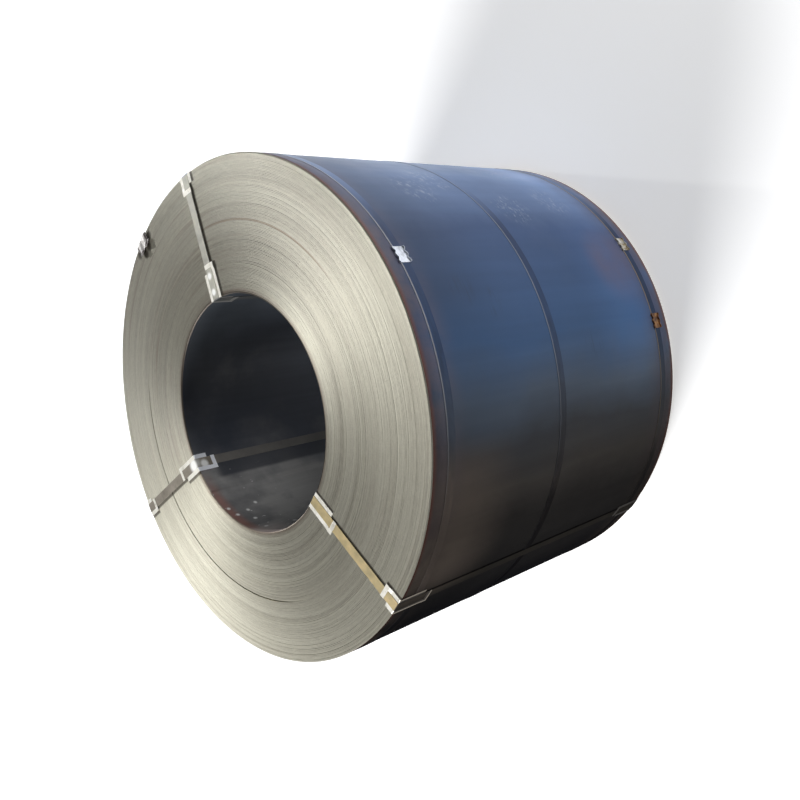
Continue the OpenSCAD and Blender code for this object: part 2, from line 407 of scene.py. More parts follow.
def noise(tree, vector, scale, detail, rough, w=None):
    inputs = {"Vector": vector, "Scale": scale, "Detail": detail, "Roughness": rough}
    if w is None:
        return add(tree, "ShaderNodeTexNoise", inputs, noise_dimensions="3D").outputs[0]
    return add(tree, "ShaderNodeTexNoise", {**inputs, "W": w}, noise_dimensions="4D").outputs[0]


def vector_calc(tree, operation, *vectors):
    return add(tree, "ShaderNodeVectorMath", dict(enumerate(vectors)), operation=operation)


def scaled(tree, vector, factors):
    return vector_calc(tree, "MULTIPLY", vector, factors).outputs[0]


class Place:
    """Coordinates on the coil: the point, its y and z, its radius, and the unit vector from the axis."""

    def __init__(self, tree):
        self.point = add(tree, "ShaderNodeTexCoord").outputs["Object"]
        split = add(tree, "ShaderNodeSeparateXYZ", {0: self.point})
        self.y, self.z = split.outputs["Y"], split.outputs["Z"]
        flat = scaled(tree, self.point, (1, 1, 0))
        self.radius = vector_calc(tree, "LENGTH", flat).outputs["Value"]
        self.round = vector_calc(tree, "NORMALIZE", flat).outputs[0]


def facing(tree, place, angle):
    """Cosine of the angle between a place round the coil and a given angle."""
    way = (math.cos(math.radians(angle)), math.sin(math.radians(angle)), 0)
    return vector_calc(tree, "DOT_PRODUCT", place.round, way).outputs["Value"]


def aside(tree, place, angle, turn=90):
    """Distance to one side of the radial line at an angle: 90 is the side of greater angles."""
    return product(tree, facing(tree, place, angle + turn), place.radius)


def near_half(tree, place, angle):
    """1 on the half of the coil at an angle and 0 on the other half."""
    return smooth(tree, facing(tree, place, angle), 0.0, 0.3)


def spot(tree, place, radius, angle, rise, size):
    """1 at a point given by radius, angle and height over the middle, fading to 0 at a distance of size."""
    turn = math.radians(angle)
    centre = (radius * math.cos(turn), radius * math.sin(turn), MIDDLE_Z + rise)
    away = vector_calc(tree, "DISTANCE", place.point, centre).outputs["Value"]
    return smooth(tree, away, size, 0.35 * size)


def bump(tree, height, strength, distance):
    inputs = {"Height": height, "Strength": strength, "Distance": distance}
    return add(tree, "ShaderNodeBump", inputs).outputs[0]


def material(name, build):
    """A material whose shader inputs come from build(tree, place)."""
    made = bpy.data.materials.new(name)
    made.use_nodes = True
    tree = made.node_tree
    tree.nodes.clear()
    shader = add(tree, "ShaderNodeBsdfPrincipled", build(tree, Place(tree)))
    output = add(tree, "ShaderNodeOutputMaterial")
    tree.links.new(shader.outputs[0], output.inputs[0])
    return made


# Tones of each surface as stops of a ramp, and colours of dirt, wear and painted light and shade, all in
# linear values

WHITE = (1, 1, 1)
END_TONES = [
    (0.32, (0.395, 0.366, 0.302)),
    (0.45, (0.53, 0.507, 0.420)),
    (0.55, (0.605, 0.584, 0.487)),
    (0.68, (0.69, 0.670, 0.562)),
]
# Painted light on the barrel by height: painted shade below, a painted sky reflection above and a painted
# highlight at the top
BARREL_PAINTED_LIGHT_TONES = [
    (0.15, (0.008, 0.008, 0.009)),
    (0.34, (0.031, 0.029, 0.028)),
    (0.42, (0.070, 0.064, 0.059)),
    (0.50, (0.049, 0.052, 0.059)),
    (0.58, (0.080, 0.106, 0.150)),
    (0.68, (0.052, 0.112, 0.240)),
    (0.85, (0.055, 0.098, 0.214)),
    (0.965, (0.180, 0.263, 0.452)),
    (1.0, (0.30, 0.38, 0.55)),
]
# Painted light in the eye: lighter on the lower side, dark on the upper side near the front, lighter deeper
# in
EYE_FRONT_PAINTED_LIGHT_TONES = [
    (0.08, (0.26, 0.257, 0.25)),
    (0.28, (0.125, 0.125, 0.13)),
    (0.50, (0.050, 0.056, 0.070)),
    (0.80, (0.030, 0.036, 0.044)),
]
EYE_BACK_PAINTED_LIGHT_TONES = [
    (0.08, (0.26, 0.257, 0.25)),
    (0.40, (0.105, 0.115, 0.14)),
    (0.80, (0.14, 0.16, 0.20)),
]
BAND_SHADES = [(0.3, (0.36, 0.34, 0.36)), (0.55, (0.5, 0.5, 0.55)), (0.75, (0.75, 0.68, 0.66))]
PLATE_TONES = [(0.25, (0.60, 0.575, 0.50)), (0.45, (0.84, 0.815, 0.725)), (0.7, (0.91, 0.89, 0.82))]
TAB_TONES = [(0.3, (0.42, 0.40, 0.385)), (0.5, (0.60, 0.58, 0.56)), (0.7, (0.76, 0.74, 0.72))]
FLOOR_TONES = [(0.3, (0.80, 0.80, 0.80)), (0.7, (0.82, 0.82, 0.82))]
# The bright seals: pale steel, with its bluish tint a painted sky reflection
SEAL_BRIGHT = [(0.3, (0.42, 0.45, 0.50)), (0.5, (0.66, 0.70, 0.78)), (0.7, (0.84, 0.88, 0.94))]
SEAL_GOLDEN = [(0.36, (0.30, 0.19, 0.06)), (0.5, (0.66, 0.60, 0.46)), (0.62, (0.86, 0.86, 0.84))]
SEAL_RUST = [(0.3, (0.07, 0.03, 0.02)), (0.5, (0.26, 0.12, 0.05)), (0.66, (0.56, 0.29, 0.11))]
STRAP_TONES = {
    "top": [(0.3, (0.33, 0.32, 0.27)), (0.52, (0.46, 0.45, 0.385)), (0.72, (0.55, 0.53, 0.42))],
    "left": [(0.3, (0.20, 0.175, 0.14)), (0.52, (0.27, 0.24, 0.195)), (0.72, (0.34, 0.30, 0.25))],
    "right": [(0.3, (0.34, 0.28, 0.15)), (0.52, (0.48, 0.385, 0.195)), (0.72, (0.66, 0.49, 0.25))],
}
# Painted glints on the eye straps: radius, angle, height over the middle and size
STRAP_GLINTS = {
    "top": [(0.460, 113.0, HALF_WIDTH, 0.016), (0.406, 113.0, HALF_WIDTH, 0.016)],
    "left": [(0.379, 217.5, HALF_WIDTH - 0.029, 0.021), (0.400, 216.5, HALF_WIDTH, 0.034)],
    "right": [],
}
# Colour of the painted highlight on each band's front edge, and how much of the plain scale its lower half
# shows
BANDS = {
    "front_band": ((0.50, 0.50, 0.52), 0.55),
    "middle_band": ((0.32, 0.34, 0.39), 0.1),
    "back_band": ((0.52, 0.40, 0.24), 0.4),
}

END_RUST = (0.30, 0.195, 0.145)
END_BROWN = (0.30, 0.20, 0.13)
END_EYE_RUST = (0.21, 0.115, 0.085)
END_LIP = (0.05, 0.044, 0.038)
# Painted shadow beside the straps and round the tab
END_PAINTED_SHADOW = (0.070, 0.058, 0.043)
END_MARK = (0.5, 0.5, 0.5)
BARREL_DUST = (0.155, 0.125, 0.104)
BARREL_STREAK = (0.72, 0.72, 0.74)
# Brown and rust, each in a shaded copy and a lit copy: painted shade below, painted light above
BARREL_BROWN_SHADED = (0.03, 0.024, 0.021)
BARREL_BROWN_LIT = (0.15, 0.12, 0.14)
BARREL_PATCH = (0.20, 0.135, 0.155)
BARREL_RUST_SHADED = (0.055, 0.025, 0.02)
BARREL_RUST_LIT = (0.22, 0.10, 0.075)
# Painted shadow along the right strap on the barrel
BARREL_STRAP_SHADOW = (0.004, 0.004, 0.004)
BARREL_SCUFF = (0.50, 0.55, 0.64)
BARREL_STROKE = (0.03, 0.035, 0.05)
# Painted shade over the left eye strap, and its painted shadow below it
EYE_SHADE_OVER_STRAP = (0.030, 0.036, 0.052)
EYE_STRAP_SHADOW = (0.032, 0.036, 0.046)
EYE_RUST = (0.30, 0.15, 0.12)
EYE_PALE = (0.60, 0.53, 0.50)
EYE_SPECK = (0.85, 0.85, 0.83)
STREAK_GREY = (0.6, 0.6, 0.6)
# Painted shade on the straps deep in the eye and on its upper side
STRAP_DEEP_SHADE = (0.10, 0.10, 0.10)
STRAP_EYE_SHADE = (0.035, 0.037, 0.04)
# Painted glint on the straps
STRAP_GLINT = (0.95, 0.95, 0.92)
# Painted shade on the protectors' barrel legs, and painted highlights along their edges that fade to
# painted shade towards the back end
PLATE_LEG_SHADE = (0.04, 0.035, 0.032)
PLATE_EDGE_SHADE = (0.045, 0.044, 0.045)
PLATE_EDGE_HIGHLIGHT = (0.34, 0.30, 0.25)
# Painted light and shade on the protectors' legs in the eye
PLATE_EYE_LIGHT = (0.88, 0.90, 0.96)
PLATE_EYE_SHADE = (0.09, 0.09, 0.09)
# Dark edges of the tab, partly rust and partly painted shade
TAB_EDGE_RUST_AND_SHADE = (0.045, 0.032, 0.028)
SKY = (0.95, 0.97, 1.0)


# Materials

def strap_side_shadow(tree, place, side):
    """1 on a painted shadow, a dark line that lies along one side of an eye strap and of its protectors."""
    angle = STRAP_ANGLES[side]
    turn, width, inner_leg, outer_leg = STRAP_SHADOWS[side]
    inner_end, outer_end = BORE_R + inner_leg, COIL_R - outer_leg
    plates = calc(tree, "MAXIMUM", smooth(tree, place.radius, inner_end + 1 * MM, inner_end),
                  smooth(tree, place.radius, outer_end - 1 * MM, outer_end))
    edge = linear(tree, plates, PLATE_HALF - STRAP_HALF, STRAP_HALF)
    off = calc(tree, "SUBTRACT", aside(tree, place, angle, turn), edge)
    near = product(tree, smooth(tree, off, -1 * MM, 0.5 * MM), smooth(tree, off, width, 0.6 * width))
    return product(tree, near, near_half(tree, place, angle))


def end_dirt_and_shadows(tree, place, colour, rust_noise):
    """The wound end's rust, brown slack turn, dark lip of the eye, and painted shadows beside the straps
    and the tab.
    """
    rust_side = smooth(tree, facing(tree, place, RUST_ANGLE), 0.2, 1.0)
    rust = product(tree, smooth(tree, rust_noise, 0.5, 0.72), linear(tree, rust_side, 0.35, 0.08))
    colour = blend(tree, rust, colour, rgb(END_RUST))
    slack_r = BORE_R + (SLACK_TURN + 0.4) * PITCH
    from_slack = calc(tree, "ABSOLUTE", calc(tree, "SUBTRACT", place.radius, slack_r))
    brown_ring = product(tree, smooth(tree, from_slack, 5 * MM, 2 * MM),
                         smooth(tree, facing(tree, place, BROWN_ANGLE), 0.80, 0.95))
    colour = paint(tree, colour, brown_ring, 0.5, END_BROWN)
    eye_edge = smooth(tree, place.radius, BORE_R + 22 * MM, BORE_R + 3 * MM)
    colour = paint(tree, colour, product(tree, eye_edge, rust_noise), 0.9, END_EYE_RUST)
    lip = product(tree, smooth(tree, place.radius, BORE_R + 7 * MM, BORE_R + 4 * MM),
                  smooth(tree, place.y, -0.28, -0.16))
    colour = paint(tree, colour, lip, 0.85, END_LIP)
    # Painted shadows beside the straps and round the tab
    painted_shadows = [strap_side_shadow(tree, place, side) for side in STRAP_SHADOWS]
    painted_shadows += [spot(tree, place, COIL_R - inward, angle, HALF_WIDTH, 22 * MM) for inward, angle in TAB_SHADOWS]
    return paint(tree, colour, largest(tree, painted_shadows), 0.8, END_PAINTED_SHADOW)


def end_steel_inputs(tree, place):
    """Sheared strip edges: a tone for each turn, dirt and painted shadows in places, and fine marks across
    each turn.
    """
    turn = calc(tree, "DIVIDE", place.radius, PITCH)
    around = scaled(tree, place.round, (0.55, 0.55, 0))
    fine = noise(tree, around, 1.0, 2.0, 0.6, w=turn)
    wide = noise(tree, around, 1.0, 2.0, 0.5, w=calc(tree, "DIVIDE", turn, 7.0))
    dashes = noise(tree, scaled(tree, place.round, (22, 22, 0)), 1.0, 3.0, 0.65, w=turn)
    tone = calc(tree, "ADD", product(tree, fine, 0.35),
                calc(tree, "ADD", product(tree, wide, 0.3), product(tree, dashes, 0.35)))
    rust_noise = noise(tree, scaled(tree, place.round, (1.3, 1.3, 0)), 1.0, 3.0, 0.6,
                       w=calc(tree, "DIVIDE", turn, 3.0))
    colour = end_dirt_and_shadows(tree, place, ramp(tree, tone, END_TONES), rust_noise)
    marks = noise(tree, scaled(tree, place.round, (160, 160, 0)), 1.0, 2.0, 0.6, w=product(tree, turn, 0.6))
    colour = streaked(tree, colour, marks, 0.15, END_MARK, 0.35, 0.65)
    tangent = add(tree, "ShaderNodeTangent", direction_type="RADIAL", axis="Z").outputs[0]
    return {
        "Base Color": colour, "Metallic": 0.85, "Anisotropic": 0.6, "Tangent": tangent,
        "Roughness": linear(tree, fine, 0.12, 0.43),
        "Normal": bump(tree, marks, 0.1, 0.4 * MM),
    }


def barrel_tone_with_painted_light(tree, place):
    """The scale's colour with painted light, and that height: painted shade makes it brown-black towards
    -Y, a painted sky reflection makes it blue-grey towards +Y, and a painted highlight brightens the very
    top.
    """
    height = calc(tree, "DIVIDE", place.y, COIL_R)
    cloud = noise(tree, place.point, 2.6, 4.0, 0.55)
    shifted = calc(tree, "ADD", height, product(tree, calc(tree, "SUBTRACT", cloud, 0.5), 0.2))
    colour = ramp(tree, linear(tree, shifted, 0.5, 0.5), BARREL_PAINTED_LIGHT_TONES)
    lower_front = product(tree, smooth(tree, place.z, FRONT_Z - 0.42, FRONT_Z - 0.1),
                          smooth(tree, facing(tree, place, BARREL_DUST_ANGLE), 0.94, 0.993))
    dusty = product(tree, lower_front, linear(tree, cloud, 0.5, 0.45))
    return blend(tree, dusty, colour, rgb(BARREL_DUST)), height


def barrel_painted_light(tree, height, from_front, from_back):
    """Painted light: a factor on the barrel's colour, over 1 towards the back end and under 1 towards the
    front end.
    """
    upper = product(tree, smooth(tree, height, -0.1, 0.3), 0.4)
    waist = product(tree, smooth(tree, height, 0.1, 0.3), smooth(tree, height, 0.8, 0.6), 0.32)
    crown = product(tree, smooth(tree, height, 0.87, 0.95), 0.25)
    at_back = calc(tree, "ADD", upper, calc(tree, "ADD", waist, crown))
    at_front = linear(tree, smooth(tree, height, 0.35, 0.55), 0.24, 0.16)
    paler = calc(tree, "SUBTRACT", product(tree, smooth(tree, from_back, 0.5, 0.1), at_back),
                 product(tree, smooth(tree, from_front, 0.5, 0.1), at_front))
    return calc(tree, "ADD", paler, 1.0)


def barrel_dirt_and_shadow(tree, place, colour, grain, height, from_front, from_back):
    """Brown zones along both rims, one brown patch and rusty edges, painted darker below and lighter above,
    and a painted shadow along the right strap.
    """
    upper = smooth(tree, height, -0.5, 0.4)
    zone = calc(tree, "MAXIMUM", smooth(tree, from_front, 0.16, 0.0), smooth(tree, from_back, 0.2, 0.0))
    brown = product(tree, zone, smooth(tree, grain, 0.2, 0.65), 0.75)
    # Painted light and shade: the brown zones darker below and lighter above
    colour = blend(tree, brown, colour, blend(tree, upper, rgb(BARREL_BROWN_SHADED), rgb(BARREL_BROWN_LIT)))
    patch = product(tree, spot(tree, place, COIL_R, *BROWN_PATCH, 0.17), grain)
    colour = paint(tree, colour, patch, 0.7, BARREL_PATCH)
    rim = calc(tree, "MAXIMUM", smooth(tree, from_front, 22 * MM, 3 * MM),
               smooth(tree, from_back, 26 * MM, 4 * MM))
    rusty = product(tree, rim, smooth(tree, grain, 0.1, 0.5), 0.9)
    # Painted light and shade: the rusty rims darker below and lighter above
    colour = blend(tree, rusty, colour, blend(tree, upper, rgb(BARREL_RUST_SHADED), rgb(BARREL_RUST_LIT)))
    # Painted shadow: a dark line along one side of the right strap
    across = aside(tree, place, STRAP_ANGLES["right"])
    strap_edge_shadow = product(tree, smooth(tree, across, STRAP_HALF, STRAP_HALF + 1 * MM),
                         smooth(tree, across, STRAP_HALF + 8 * MM, STRAP_HALF + 4 * MM),
                         near_half(tree, place, STRAP_ANGLES["right"]))
    return paint(tree, colour, strap_edge_shadow, 0.85, BARREL_STRAP_SHADOW)


def barrel_wear(tree, place, colour, fleck):
    """Pale scuffs and dark strokes."""
    rubbed = largest(tree, [spot(tree, place, COIL_R, angle, rise, 0.10) for angle, rise in SCUFFS])
    scuff = product(tree, rubbed, smooth(tree, fleck, 0.50, 0.68))
    colour = paint(tree, colour, scuff, 0.4, BARREL_SCUFF)
    struck = largest(tree, [spot(tree, place, COIL_R, angle, rise, 0.06) for angle, rise in STROKES])
    stroke = noise(tree, scaled(tree, place.point, (5, 5, 60)), 1.0, 2.0, 0.5)
    return paint(tree, colour, product(tree, struck, smooth(tree, stroke, 0.5, 0.65)), 0.28, BARREL_STROKE)


def barrel_inputs(tree, place):
    """Mill scale, blue-grey above from a painted sky reflection and dark below from painted shade, with
    scuffs, streaks and brown zones along both rims.
    """
    colour, height = barrel_tone_with_painted_light(tree, place)
    streak = noise(tree, scaled(tree, place.point, (14, 14, 0.7)), 1.0, 3.0, 0.6)
    colour = streaked(tree, colour, streak, 0.5, BARREL_STREAK)
    from_front = calc(tree, "SUBTRACT", FRONT_Z, place.z)
    from_back = calc(tree, "SUBTRACT", place.z, BACK_Z)
    # Painted light: the barrel's colour lifted towards the back end and lowered towards the front end
    level = barrel_painted_light(tree, height, from_front, from_back)
    colour = add(tree, "ShaderNodeVectorMath", {0: colour, "Scale": level}, operation="SCALE").outputs[0]
    grain = noise(tree, place.point, 9.0, 5.0, 0.6)
    fleck = noise(tree, scaled(tree, place.point, (1, 1, 1.6)), 46.0, 4.0, 0.7)
    colour = barrel_dirt_and_shadow(tree, place, colour, grain, height, from_front, from_back)
    return {
        "Base Color": barrel_wear(tree, place, colour, fleck),
        "Specular IOR Level": product(tree, smooth(tree, height, -0.2, 0.7), 0.22),
        "Roughness": linear(tree, grain, 0.2, 0.42),
        "Normal": bump(tree, calc(tree, "ADD", grain, product(tree, fleck, 0.2)), 0.1, 1 * MM),
    }


def eye_shade(tree, place, colour):
    """Painted shade over the left eye strap, and the strap's painted shadow in a dark strip below it."""
    angle = STRAP_ANGLES["left"]
    over = product(tree, smooth(tree, facing(tree, place, EYE_SHADE_ANGLE), 0.85, 0.95),
                   smooth(tree, facing(tree, place, angle - 90), -0.03, 0.0))
    colour = paint(tree, colour, over, 0.55, EYE_SHADE_OVER_STRAP)
    off = aside(tree, place, angle)
    under = product(tree, smooth(tree, off, 10 * MM, 16 * MM), smooth(tree, off, 78 * MM, 62 * MM),
                    near_half(tree, place, angle), smooth(tree, place.z, FRONT_Z - 0.05, FRONT_Z - 0.09))
    return paint(tree, colour, under, 0.8, EYE_STRAP_SHADOW)


def eye_dirt(tree, place, colour, height, cloud):
    """The rusty front edge, the pale zone and the pale specks on the lower wall of the eye."""
    low_side = smooth(tree, height, -0.6, -0.9)
    rusty = product(tree, low_side, smooth(tree, place.z, FRONT_Z - 50 * MM, FRONT_Z - 12 * MM),
                    smooth(tree, cloud, 0.25, 0.6))
    colour = paint(tree, colour, rusty, 0.8, EYE_RUST)
    pale = product(tree, smooth(tree, facing(tree, place, EYE_PALE_ANGLE), 0.95, 0.995),
                   smooth(tree, place.z, FRONT_Z - 0.14, FRONT_Z - 0.06))
    colour = paint(tree, colour, pale, 0.6, EYE_PALE)
    specks = largest(tree, [
        spot(tree, place, BORE_R, angle, HALF_WIDTH - depth, 10 * MM) for angle, depth in EYE_SPECKS
    ])
    dust = product(tree, low_side, smooth(tree, noise(tree, place.point, 70.0, 2.0, 0.5), 0.71, 0.76),
                   smooth(tree, place.z, FRONT_Z - 0.3, FRONT_Z - 0.06))
    return paint(tree, colour, calc(tree, "MAXIMUM", specks, dust), 0.85, EYE_SPECK)


def bore_inputs(tree, place):
    """Inside of the eye: dark scale with painted light, greyer below and deeper in, painted shade by the
    left strap, pale specks and a rusty front edge.
    """
    height = calc(tree, "DIVIDE", place.y, BORE_R)
    cloud = noise(tree, place.point, 5.0, 4.0, 0.55)
    level = linear(tree, height, 0.4, cloud)
    # Painted light: tones by height near the front, lighter tones deeper in
    depth = smooth(tree, place.z, FRONT_Z - 0.15, FRONT_Z - 0.6)
    colour = blend(tree, depth, ramp(tree, level, EYE_FRONT_PAINTED_LIGHT_TONES), ramp(tree, level, EYE_BACK_PAINTED_LIGHT_TONES))
    colour = eye_shade(tree, place, colour)
    colour = eye_dirt(tree, place, colour, height, cloud)
    streak = noise(tree, scaled(tree, place.point, (30, 30, 1.5)), 1.0, 3.0, 0.6)
    return {
        "Base Color": streaked(tree, colour, streak, 0.45, STREAK_GREY), "Metallic": 0.1,
        "Roughness": linear(tree, cloud, 0.2, 0.4),
        "Normal": bump(tree, streak, 0.1, 1 * MM),
    }


def band_inputs(node, edge_highlight, plain_below):
    """Strapping as dark as the scale round it, with the scale's painted light, and a painted highlight
    along its front edge.
    """
    front_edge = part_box(node)[1].z

    def build(tree, place):
        tone, height = barrel_tone_with_painted_light(tree, place)
        grain = noise(tree, scaled(tree, place.point, (1, 1, 4)), 12.0, 4.0, 0.6)
        plain = calc(tree, "MAXIMUM", product(tree, smooth(tree, height, 0.7, 0.92), 0.8),
                     product(tree, smooth(tree, height, 0.3, -0.05), plain_below))
        dark = ramp(tree, grain, BAND_SHADES)
        colour = blend(tree, calc(tree, "SUBTRACT", 1.0, plain), tone, dark, "MULTIPLY")
        upper = smooth(tree, height, -0.25, 0.6)
        edge = smooth(tree, place.z, front_edge - 6 * MM, front_edge - 2 * MM)
        # Painted highlight along the front edge, strong above and faint below
        lit_edge = product(tree, edge, linear(tree, upper, 0.7, 0.015))
        return {
            "Base Color": blend(tree, lit_edge, colour, rgb(edge_highlight)),
            "Specular IOR Level": product(tree, upper, 0.2),
            "Roughness": linear(tree, grain, 0.25, 0.38),
            "Normal": bump(tree, grain, 0.1, 0.6 * MM),
        }
    return build


def strap_inputs(tones, painted_glints):
    """Dull strapping with blotches along it, with painted shade on the barrel and in the eye, and painted
    glints.
    """
    def build(tree, place):
        blotch = noise(tree, place.point, 16.0, 4.0, 0.6)
        lines = noise(tree, place.point, 60.0, 3.0, 0.6)
        colour = streaked(tree, ramp(tree, blotch, tones), lines, 0.3, STREAK_GREY)
        on_barrel = smooth(tree, place.radius, COIL_R - 3 * MM, COIL_R + 0.6 * MM)
        in_eye = smooth(tree, place.radius, BORE_R + 4 * MM, BORE_R - 0.3 * MM)
        scale_tone = barrel_tone_with_painted_light(tree, place)[0]
        # Painted shade: on the barrel the strap takes the barrel's tone with its painted light
        colour = blend(tree, product(tree, on_barrel, 0.985), colour, scale_tone)
        # Painted shade deep in the eye and on its upper side
        deep = product(tree, in_eye, smooth(tree, place.z, FRONT_Z - 0.05, FRONT_Z - 0.1))
        colour = paint(tree, colour, deep, 0.75, STRAP_DEEP_SHADE)
        high_in_eye = product(tree, in_eye, smooth(tree, place.y, 0.0, 0.2))
        colour = paint(tree, colour, high_in_eye, 0.9, STRAP_EYE_SHADE)
        if painted_glints:
            # Painted glints: white spots on the straps
            shine = largest(tree, [spot(tree, place, *where) for where in painted_glints])
            colour = blend(tree, shine, colour, rgb(STRAP_GLINT))
        return {
            "Base Color": colour,
            "Metallic": product(tree, calc(tree, "SUBTRACT", 1.0, on_barrel), 0.2),
            "Specular IOR Level": calc(tree, "SUBTRACT", 0.5, product(tree, on_barrel, 0.5)),
            "Roughness": linear(tree, blotch, 0.2, 0.42),
            "Normal": bump(tree, lines, 0.12, 0.4 * MM),
        }
    return build


def plate_inputs(strap_angle):
    """Pale zinc-coated sheet with a faint spangle and dull spots, with painted shade on its lower barrel
    legs but for painted highlights along their edges, and painted light and shade in the eye.
    """
    leg_end = HALF_WIDTH - PLATE_LEG

    def build(tree, place):
        cells = add(tree, "ShaderNodeTexVoronoi", {"Vector": place.point, "Scale": 120.0}).outputs["Color"]
        spangle = add(tree, "ShaderNodeSeparateColor", {0: cells}).outputs[0]
        dull = noise(tree, place.point, 22.0, 4.0, 0.6)
        tone = calc(tree, "ADD", product(tree, spangle, 0.25), product(tree, dull, 0.75))
        colour = ramp(tree, tone, PLATE_TONES)
        across = calc(tree, "ABSOLUTE", aside(tree, place, strap_angle))
        from_middle = calc(tree, "ABSOLUTE", calc(tree, "SUBTRACT", place.z, MIDDLE_Z))
        # The rubbed mask marks the legs' edges, which take a painted highlight
        rubbed = calc(tree, "MAXIMUM", smooth(tree, across, PLATE_HALF - 7 * MM, PLATE_HALF - 4 * MM),
                      smooth(tree, from_middle, leg_end + 7 * MM, leg_end + 4 * MM))
        on_barrel = smooth(tree, place.radius, COIL_R - 1 * MM, COIL_R + 0.8 * MM)
        # Painted shade on the lower barrel legs, with painted highlights on their edges
        shaded_leg = product(tree, on_barrel, smooth(tree, place.y, 0.1, -0.3))
        edge_light_tone = blend(tree, smooth(tree, place.z, MIDDLE_Z, FRONT_Z),
                          rgb(PLATE_EDGE_SHADE), rgb(PLATE_EDGE_HIGHLIGHT))
        leg_shade_tone = blend(tree, rubbed, rgb(PLATE_LEG_SHADE), edge_light_tone)
        colour = blend(tree, product(tree, shaded_leg, 0.96), colour, leg_shade_tone)
        in_eye = smooth(tree, place.radius, BORE_R + 2 * MM, BORE_R - 0.3 * MM)
        # Painted light on the legs low in the eye, painted shade on those high up
        eye_light_and_shade = blend(tree, smooth(tree, place.y, 0.0, 0.2), rgb(PLATE_EYE_LIGHT), rgb(PLATE_EYE_SHADE))
        return {
            "Base Color": blend(tree, product(tree, in_eye, 0.9), colour, eye_light_and_shade),
            "Metallic": calc(tree, "SUBTRACT", 0.15, product(tree, shaded_leg, 0.15)),
            "Specular IOR Level": calc(tree, "SUBTRACT", 0.5, product(tree, shaded_leg, 0.5)),
            "Roughness": linear(tree, spangle, 0.12, 0.32),
            "Normal": bump(tree, dull, 0.08, 0.8 * MM),
        }
    return build


def seal_inputs(tones):
    """Crimped sheet, bright or rusted."""
    def build(tree, place):
        grain = noise(tree, place.point, 70.0, 4.0, 0.6)
        return {
            "Base Color": ramp(tree, grain, tones), "Metallic": 0.45,
            "Roughness": linear(tree, grain, 0.25, 0.28),
            "Normal": bump(tree, grain, 0.15, 0.6 * MM),
        }
    return build


def tab_inputs(tree, place):
    """Grey crumpled sheet with dark edges, partly rust and partly painted shade."""
    grain = noise(tree, place.point, 90.0, 4.0, 0.6)
    inner = smooth(tree, place.radius, COIL_R - 31 * MM, COIL_R - 37 * MM)
    ends = smooth(tree, facing(tree, place, TAB_ANGLE),
                  math.cos(math.radians(2.0)), math.cos(math.radians(2.3)))
    # Dark edges, partly rust and partly painted shade
    edges = calc(tree, "MAXIMUM", inner, ends)
    return {
        "Base Color": paint(tree, ramp(tree, grain, TAB_TONES), edges, 0.92, TAB_EDGE_RUST_AND_SHADE), "Metallic": 0.3,
        "Roughness": linear(tree, grain, 0.25, 0.4),
        "Normal": bump(tree, grain, 0.3, 0.8 * MM),
    }


def floor_inputs(tree, place):
    cloud = noise(tree, place.point, 0.7, 2.0, 0.5)
    return {"Base Color": ramp(tree, cloud, FLOOR_TONES), "Roughness": 0.9}


def dress(name, made):
    for slot in nodes[name].material_slots:
        slot.material = made


def dress_all():
    for name, (edge_highlight, plain_below) in BANDS.items():
        dress(name, material(name + "_steel", band_inputs(name, edge_highlight, plain_below)))
    for side, tones in STRAP_TONES.items():
        strap = material(side + "_strap_steel", strap_inputs(tones, STRAP_GLINTS[side]))
        dress(side + "_eye_strap", strap)
    for side, strap_angle in STRAP_ANGLES.items():
        plate = material(side + "_plate_zinc", plate_inputs(strap_angle))
        for name in nodes:
            if name.startswith(side) and name.endswith("_protector"):
                dress(name, plate)
    bright = material("seal_bright", seal_inputs(SEAL_BRIGHT))
    golden = material("seal_golden", seal_inputs(SEAL_GOLDEN))
    rusty = material("seal_rust", seal_inputs(SEAL_RUST))
    dress("front_band_seal", bright)
    dress("middle_band_seal", bright)
    dress("back_band_seal", golden)
    dress("back_band_rusty_seal", rusty)


# Stage, lights and camera

def floor_material():
    """A pale floor that glows a little where it is seen, directly or mirrored, and keeps its shadows."""
    made = bpy.data.materials.new("floor_pale")
    made.use_nodes = True
    tree = made.node_tree
    tree.nodes.clear()
    diffuse = add(tree, "ShaderNodeBsdfPrincipled", floor_inputs(tree, Place(tree)))
    path = add(tree, "ShaderNodeLightPath")
    rays = ("Is Camera Ray", "Is Glossy Ray", "Is Transmission Ray")
    seen = largest(tree, [path.outputs[ray] for ray in rays])
    glow = add(tree, "ShaderNodeEmission", {"Color": rgb(WHITE), "Strength": product(tree, seen, 0.5)})
    both = add(tree, "ShaderNodeAddShader", {0: diffuse.outputs[0], 1: glow.outputs[0]})
    output = add(tree, "ShaderNodeOutputMaterial")
    tree.links.new(both.outputs[0], output.inputs[0])
    return made


def make_floor():
    side = 30.0
    corners = [(-side, -side, 0), (side, -side, 0), (side, side, 0), (-side, side, 0)]
    mesh = bpy.data.meshes.new("floor")
    mesh.from_pydata(corners, [], [(0, 1, 2, 3)])
    mesh.materials.append(floor_material())
    floor = bpy.data.objects.new("floor", mesh)
    bpy.context.scene.collection.objects.link(floor)


def heading(angle, rise):
    """Unit vector towards an angle round the coil and a rise above the floor."""
    turn, lift = math.radians(angle), math.radians(rise)
    return Vector((math.cos(turn) * math.cos(lift), math.sin(turn) * math.cos(lift), math.sin(lift)))


def point_at(angle, radius, z):
    return heading(angle, 0) * radius + Vector((0, 0, z))


def hang(lamp, back):
    """An object for a lamp, turned so that the lamp shines away from the direction of its back."""
    lamp_object = bpy.data.objects.new(lamp.name, lamp)
    lamp_object.rotation_mode = "QUATERNION"
    lamp_object.rotation_quaternion = back.to_track_quat("Z", "Y")
    bpy.context.scene.collection.objects.link(lamp_object)
    return lamp_object


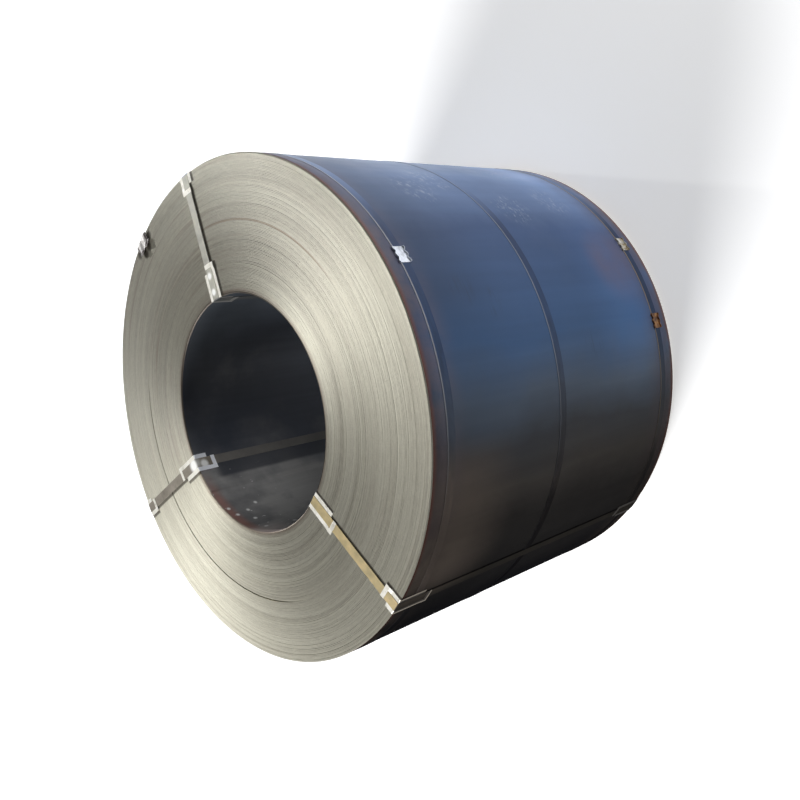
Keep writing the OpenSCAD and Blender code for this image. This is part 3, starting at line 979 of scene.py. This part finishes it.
def sun(name, towards, strength, softness):
    lamp = bpy.data.lights.new(name, "SUN")
    lamp.energy = strength
    lamp.angle = math.radians(softness)
    hang(lamp, towards)


def soft_box(name, place, width, height, power):
    """An upright lamp that faces the axis and lies below the front end, which it doesn't light."""
    lamp = bpy.data.lights.new(name, "AREA")
    lamp.shape = "RECTANGLE"
    lamp.size, lamp.size_y = width, height
    lamp.energy = power
    lamp_object = hang(lamp, Vector((place.x, place.y, 0)))
    lamp_object.location = place
    lamp_object.visible_camera = False


def eye_lamp(name, aim, towards, distance, power, cone):
    """A soft spot lamp at a distance from the point that it shines on."""
    lamp = bpy.data.lights.new(name, "SPOT")
    lamp.energy = power
    lamp.spot_size = math.radians(cone)
    lamp.spot_blend = 1.0
    lamp.shadow_soft_size = 0.15
    hang(lamp, towards).location = aim + towards * distance


def make_lights():
    """Two suns, a low fill for the barrel, two lamps for the eye, and a weak sky."""
    sun("low_side", heading(175, 8), strength=1.35, softness=2.0)
    sun("main", heading(252, 41), strength=4.0, softness=25.0)
    soft_box("fill", point_at(68, 3.4, 0.30), width=2.6, height=0.56, power=40.0)
    soft_box("eye_fill", point_at(315, 0.30, MIDDLE_Z), width=0.25, height=0.9, power=0.45)
    lower_left_wall = point_at(236, BORE_R, FRONT_Z - 0.13)
    eye_lamp("eye", lower_left_wall, heading(50, 35), distance=3.2, power=190.0, cone=12.0)
    world = bpy.data.worlds.new("studio")
    bpy.context.scene.world = world
    world.use_nodes = True
    background = world.node_tree.nodes["Background"]
    background.inputs["Color"].default_value = rgb(SKY)
    background.inputs["Strength"].default_value = 0.09


def make_camera():
    """Camera at the photograph's view. The coil stands on its back end here, so the view is rolled."""
    yaw, pitch, roll = (math.radians(a) for a in (CAMERA_YAW, CAMERA_PITCH, CAMERA_ROLL))
    back = Vector((math.sin(yaw) * math.cos(pitch), math.sin(pitch), math.cos(yaw) * math.cos(pitch)))
    level = Vector((math.cos(yaw), 0, -math.sin(yaw)))
    rise = back.cross(level)
    right = level * math.cos(roll) + rise * math.sin(roll)
    up = rise * math.cos(roll) - level * math.sin(roll)
    data = bpy.data.cameras.new("camera")
    data.sensor_width = SENSOR_WIDTH
    data.lens = FOCAL_PIXELS / PHOTO_PIXELS * SENSOR_WIDTH
    camera = bpy.data.objects.new("camera", data)
    place = Vector((CAMERA_X, CAMERA_Y, CAMERA_Z + MIDDLE_Z))
    camera.matrix_world = Matrix((
        (right.x, up.x, back.x, place.x),
        (right.y, up.y, back.y, place.y),
        (right.z, up.z, back.z, place.z),
        (0, 0, 0, 1),
    ))
    bpy.context.scene.collection.objects.link(camera)
    bpy.context.scene.camera = camera


make_coil(
    material("end_steel", end_steel_inputs),
    material("barrel_scale", barrel_inputs),
    material("bore_scale", bore_inputs),
)
make_rim_tab(material("tab_sheet", tab_inputs))
dress_all()
make_floor()
make_lights()
make_camera()
bpy.context.scene.view_settings.view_transform = "Standard"
